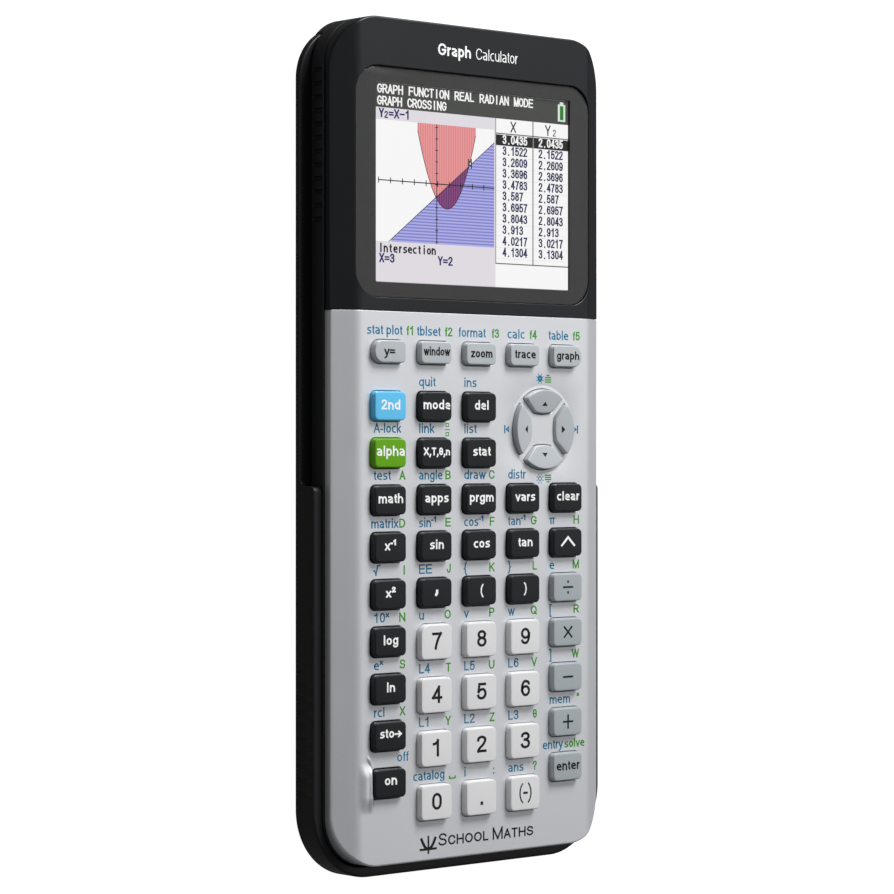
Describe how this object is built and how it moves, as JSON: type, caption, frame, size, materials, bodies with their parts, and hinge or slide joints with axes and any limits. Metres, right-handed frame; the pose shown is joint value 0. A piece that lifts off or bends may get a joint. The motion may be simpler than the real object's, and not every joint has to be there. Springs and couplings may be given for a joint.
{
  "type": "graphing calculator",
  "caption": "Graphing calculator with a colour display, a full keypad, an arrow pad and a slide case stored on its back.",
  "frame": {"origin": "centre of the bounding box at the level of the slide case's flat back, which the calculator lies on", "axes": "+X to the user's right, +Y along the length towards the display end, +Z out of the keys"},
  "size_m": [0.086, 0.1878, 0.0193],
  "materials": {
    "case_black": "fine moulded texture, satin",
    "bezel_black": "smooth satin moulding",
    "silver_plastic": "silver metallic paint on a satin moulding",
    "housing_black": "fine moulded texture, satin",
    "window_clear": "clear plate with a dark grey printed border",
    "key_charcoal": "moulded, light satin",
    "key_white": "moulded, light satin",
    "key_light_grey": "moulded, light satin",
    "key_mid_grey": "moulded, light satin",
    "key_blue": "moulded, light satin",
    "key_green": "moulded, light satin",
    "lcd_metal": "pressed metal frame",
    "mat_rubber": "moulded silicone sheet",
    "board_green": "solder mask over laminate",
    "battery_wrap": "wrapped flat pack"
  },
  "bodies": {
    "calculator": {"rear_housing": "housing_black", "battery_door": "housing_black", "display_bezel": "bezel_black", "keypad_faceplate": "silver_plastic", "display_window": "window_clear", "lcd_module": "lcd_metal", "key_mat": "mat_rubber", "main_board": "board_green", "battery_pack": "battery_wrap"},
    "slide_case": {"slide_case": "case_black"},
    "key_y_equals": {"key_y_equals": "key_light_grey"},
    "key_window": {"key_window": "key_light_grey"},
    "key_zoom": {"key_zoom": "key_light_grey"},
    "key_trace": {"key_trace": "key_light_grey"},
    "key_graph": {"key_graph": "key_light_grey"},
    "key_second": {"key_second": "key_blue"},
    "key_mode": {"key_mode": "key_charcoal"},
    "key_delete": {"key_delete": "key_charcoal"},
    "key_alpha": {"key_alpha": "key_green"},
    "key_variable": {"key_variable": "key_charcoal"},
    "key_stat": {"key_stat": "key_charcoal"},
    "key_math": {"key_math": "key_charcoal"},
    "key_apps": {"key_apps": "key_charcoal"},
    "key_program": {"key_program": "key_charcoal"},
    "key_vars": {"key_vars": "key_charcoal"},
    "key_clear": {"key_clear": "key_charcoal"},
    "key_reciprocal": {"key_reciprocal": "key_charcoal"},
    "key_sin": {"key_sin": "key_charcoal"},
    "key_cos": {"key_cos": "key_charcoal"},
    "key_tan": {"key_tan": "key_charcoal"},
    "key_power": {"key_power": "key_charcoal"},
    "key_square": {"key_square": "key_charcoal"},
    "key_comma": {"key_comma": "key_charcoal"},
    "key_open_bracket": {"key_open_bracket": "key_charcoal"},
    "key_close_bracket": {"key_close_bracket": "key_charcoal"},
    "key_divide": {"key_divide": "key_mid_grey"},
    "key_log": {"key_log": "key_charcoal"},
    "key_multiply": {"key_multiply": "key_mid_grey"},
    "key_ln": {"key_ln": "key_charcoal"},
    "key_subtract": {"key_subtract": "key_mid_grey"},
    "key_store": {"key_store": "key_charcoal"},
    "key_add": {"key_add": "key_mid_grey"},
    "key_on": {"key_on": "key_charcoal"},
    "key_enter": {"key_enter": "key_mid_grey"},
    "key_7": {"key_7": "key_white"},
    "key_8": {"key_8": "key_white"},
    "key_9": {"key_9": "key_white"},
    "key_4": {"key_4": "key_white"},
    "key_5": {"key_5": "key_white"},
    "key_6": {"key_6": "key_white"},
    "key_1": {"key_1": "key_white"},
    "key_2": {"key_2": "key_white"},
    "key_3": {"key_3": "key_white"},
    "key_0": {"key_0": "key_white"},
    "key_point": {"key_point": "key_white"},
    "key_negative": {"key_negative": "key_white"},
    "key_right": {"key_right": "key_light_grey"},
    "key_up": {"key_up": "key_light_grey"},
    "key_left": {"key_left": "key_light_grey"},
    "key_down": {"key_down": "key_light_grey"}
  },
  "joints": [
    {"name": "slide_case_slide", "type": "slide", "parent": "calculator", "child": "slide_case", "axis": [0, -1, 0], "range_m": [0, 0.195]},
    {"name": "key_y_equals_press", "type": "slide", "parent": "calculator", "child": "key_y_equals", "axis": [0, 0, -1], "range_m": [0, 0.001], "stiffness_N_per_m": 300, "springref_m": -0.001},
    {"name": "key_window_press", "type": "slide", "parent": "calculator", "child": "key_window", "axis": [0, 0, -1], "range_m": [0, 0.001], "stiffness_N_per_m": 300, "springref_m": -0.001},
    {"name": "key_zoom_press", "type": "slide", "parent": "calculator", "child": "key_zoom", "axis": [0, 0, -1], "range_m": [0, 0.001], "stiffness_N_per_m": 300, "springref_m": -0.001},
    {"name": "key_trace_press", "type": "slide", "parent": "calculator", "child": "key_trace", "axis": [0, 0, -1], "range_m": [0, 0.001], "stiffness_N_per_m": 300, "springref_m": -0.001},
    {"name": "key_graph_press", "type": "slide", "parent": "calculator", "child": "key_graph", "axis": [0, 0, -1], "range_m": [0, 0.001], "stiffness_N_per_m": 300, "springref_m": -0.001},
    {"name": "key_second_press", "type": "slide", "parent": "calculator", "child": "key_second", "axis": [0, 0, -1], "range_m": [0, 0.001], "stiffness_N_per_m": 300, "springref_m": -0.001},
    {"name": "key_mode_press", "type": "slide", "parent": "calculator", "child": "key_mode", "axis": [0, 0, -1], "range_m": [0, 0.001], "stiffness_N_per_m": 300, "springref_m": -0.001},
    {"name": "key_delete_press", "type": "slide", "parent": "calculator", "child": "key_delete", "axis": [0, 0, -1], "range_m": [0, 0.001], "stiffness_N_per_m": 300, "springref_m": -0.001},
    {"name": "key_alpha_press", "type": "slide", "parent": "calculator", "child": "key_alpha", "axis": [0, 0, -1], "range_m": [0, 0.001], "stiffness_N_per_m": 300, "springref_m": -0.001},
    {"name": "key_variable_press", "type": "slide", "parent": "calculator", "child": "key_variable", "axis": [0, 0, -1], "range_m": [0, 0.001], "stiffness_N_per_m": 300, "springref_m": -0.001},
    {"name": "key_stat_press", "type": "slide", "parent": "calculator", "child": "key_stat", "axis": [0, 0, -1], "range_m": [0, 0.001], "stiffness_N_per_m": 300, "springref_m": -0.001},
    {"name": "key_math_press", "type": "slide", "parent": "calculator", "child": "key_math", "axis": [0, 0, -1], "range_m": [0, 0.001], "stiffness_N_per_m": 300, "springref_m": -0.001},
    {"name": "key_apps_press", "type": "slide", "parent": "calculator", "child": "key_apps", "axis": [0, 0, -1], "range_m": [0, 0.001], "stiffness_N_per_m": 300, "springref_m": -0.001},
    {"name": "key_program_press", "type": "slide", "parent": "calculator", "child": "key_program", "axis": [0, 0, -1], "range_m": [0, 0.001], "stiffness_N_per_m": 300, "springref_m": -0.001},
    {"name": "key_vars_press", "type": "slide", "parent": "calculator", "child": "key_vars", "axis": [0, 0, -1], "range_m": [0, 0.001], "stiffness_N_per_m": 300, "springref_m": -0.001},
    {"name": "key_clear_press", "type": "slide", "parent": "calculator", "child": "key_clear", "axis": [0, 0, -1], "range_m": [0, 0.001], "stiffness_N_per_m": 300, "springref_m": -0.001},
    {"name": "key_reciprocal_press", "type": "slide", "parent": "calculator", "child": "key_reciprocal", "axis": [0, 0, -1], "range_m": [0, 0.001], "stiffness_N_per_m": 300, "springref_m": -0.001},
    {"name": "key_sin_press", "type": "slide", "parent": "calculator", "child": "key_sin", "axis": [0, 0, -1], "range_m": [0, 0.001], "stiffness_N_per_m": 300, "springref_m": -0.001},
    {"name": "key_cos_press", "type": "slide", "parent": "calculator", "child": "key_cos", "axis": [0, 0, -1], "range_m": [0, 0.001], "stiffness_N_per_m": 300, "springref_m": -0.001},
    {"name": "key_tan_press", "type": "slide", "parent": "calculator", "child": "key_tan", "axis": [0, 0, -1], "range_m": [0, 0.001], "stiffness_N_per_m": 300, "springref_m": -0.001},
    {"name": "key_power_press", "type": "slide", "parent": "calculator", "child": "key_power", "axis": [0, 0, -1], "range_m": [0, 0.001], "stiffness_N_per_m": 300, "springref_m": -0.001},
    {"name": "key_square_press", "type": "slide", "parent": "calculator", "child": "key_square", "axis": [0, 0, -1], "range_m": [0, 0.001], "stiffness_N_per_m": 300, "springref_m": -0.001},
    {"name": "key_comma_press", "type": "slide", "parent": "calculator", "child": "key_comma", "axis": [0, 0, -1], "range_m": [0, 0.001], "stiffness_N_per_m": 300, "springref_m": -0.001},
    {"name": "key_open_bracket_press", "type": "slide", "parent": "calculator", "child": "key_open_bracket", "axis": [0, 0, -1], "range_m": [0, 0.001], "stiffness_N_per_m": 300, "springref_m": -0.001},
    {"name": "key_close_bracket_press", "type": "slide", "parent": "calculator", "child": "key_close_bracket", "axis": [0, 0, -1], "range_m": [0, 0.001], "stiffness_N_per_m": 300, "springref_m": -0.001},
    {"name": "key_divide_press", "type": "slide", "parent": "calculator", "child": "key_divide", "axis": [0, 0, -1], "range_m": [0, 0.001], "stiffness_N_per_m": 300, "springref_m": -0.001},
    {"name": "key_log_press", "type": "slide", "parent": "calculator", "child": "key_log", "axis": [0, 0, -1], "range_m": [0, 0.001], "stiffness_N_per_m": 300, "springref_m": -0.001},
    {"name": "key_multiply_press", "type": "slide", "parent": "calculator", "child": "key_multiply", "axis": [0, 0, -1], "range_m": [0, 0.001], "stiffness_N_per_m": 300, "springref_m": -0.001},
    {"name": "key_ln_press", "type": "slide", "parent": "calculator", "child": "key_ln", "axis": [0, 0, -1], "range_m": [0, 0.001], "stiffness_N_per_m": 300, "springref_m": -0.001},
    {"name": "key_subtract_press", "type": "slide", "parent": "calculator", "child": "key_subtract", "axis": [0, 0, -1], "range_m": [0, 0.001], "stiffness_N_per_m": 300, "springref_m": -0.001},
    {"name": "key_store_press", "type": "slide", "parent": "calculator", "child": "key_store", "axis": [0, 0, -1], "range_m": [0, 0.001], "stiffness_N_per_m": 300, "springref_m": -0.001},
    {"name": "key_add_press", "type": "slide", "parent": "calculator", "child": "key_add", "axis": [0, 0, -1], "range_m": [0, 0.001], "stiffness_N_per_m": 300, "springref_m": -0.001},
    {"name": "key_on_press", "type": "slide", "parent": "calculator", "child": "key_on", "axis": [0, 0, -1], "range_m": [0, 0.001], "stiffness_N_per_m": 300, "springref_m": -0.001},
    {"name": "key_enter_press", "type": "slide", "parent": "calculator", "child": "key_enter", "axis": [0, 0, -1], "range_m": [0, 0.001], "stiffness_N_per_m": 300, "springref_m": -0.001},
    {"name": "key_7_press", "type": "slide", "parent": "calculator", "child": "key_7", "axis": [0, 0, -1], "range_m": [0, 0.001], "stiffness_N_per_m": 300, "springref_m": -0.001},
    {"name": "key_8_press", "type": "slide", "parent": "calculator", "child": "key_8", "axis": [0, 0, -1], "range_m": [0, 0.001], "stiffness_N_per_m": 300, "springref_m": -0.001},
    {"name": "key_9_press", "type": "slide", "parent": "calculator", "child": "key_9", "axis": [0, 0, -1], "range_m": [0, 0.001], "stiffness_N_per_m": 300, "springref_m": -0.001},
    {"name": "key_4_press", "type": "slide", "parent": "calculator", "child": "key_4", "axis": [0, 0, -1], "range_m": [0, 0.001], "stiffness_N_per_m": 300, "springref_m": -0.001},
    {"name": "key_5_press", "type": "slide", "parent": "calculator", "child": "key_5", "axis": [0, 0, -1], "range_m": [0, 0.001], "stiffness_N_per_m": 300, "springref_m": -0.001},
    {"name": "key_6_press", "type": "slide", "parent": "calculator", "child": "key_6", "axis": [0, 0, -1], "range_m": [0, 0.001], "stiffness_N_per_m": 300, "springref_m": -0.001},
    {"name": "key_1_press", "type": "slide", "parent": "calculator", "child": "key_1", "axis": [0, 0, -1], "range_m": [0, 0.001], "stiffness_N_per_m": 300, "springref_m": -0.001},
    {"name": "key_2_press", "type": "slide", "parent": "calculator", "child": "key_2", "axis": [0, 0, -1], "range_m": [0, 0.001], "stiffness_N_per_m": 300, "springref_m": -0.001},
    {"name": "key_3_press", "type": "slide", "parent": "calculator", "child": "key_3", "axis": [0, 0, -1], "range_m": [0, 0.001], "stiffness_N_per_m": 300, "springref_m": -0.001},
    {"name": "key_0_press", "type": "slide", "parent": "calculator", "child": "key_0", "axis": [0, 0, -1], "range_m": [0, 0.001], "stiffness_N_per_m": 300, "springref_m": -0.001},
    {"name": "key_point_press", "type": "slide", "parent": "calculator", "child": "key_point", "axis": [0, 0, -1], "range_m": [0, 0.001], "stiffness_N_per_m": 300, "springref_m": -0.001},
    {"name": "key_negative_press", "type": "slide", "parent": "calculator", "child": "key_negative", "axis": [0, 0, -1], "range_m": [0, 0.001], "stiffness_N_per_m": 300, "springref_m": -0.001},
    {"name": "key_right_press", "type": "slide", "parent": "calculator", "child": "key_right", "axis": [0, 0, -1], "range_m": [0, 0.001], "stiffness_N_per_m": 300, "springref_m": -0.001},
    {"name": "key_up_press", "type": "slide", "parent": "calculator", "child": "key_up", "axis": [0, 0, -1], "range_m": [0, 0.001], "stiffness_N_per_m": 300, "springref_m": -0.001},
    {"name": "key_left_press", "type": "slide", "parent": "calculator", "child": "key_left", "axis": [0, 0, -1], "range_m": [0, 0.001], "stiffness_N_per_m": 300, "springref_m": -0.001},
    {"name": "key_down_press", "type": "slide", "parent": "calculator", "child": "key_down", "axis": [0, 0, -1], "range_m": [0, 0.001], "stiffness_N_per_m": 300, "springref_m": -0.001}
  ]
}
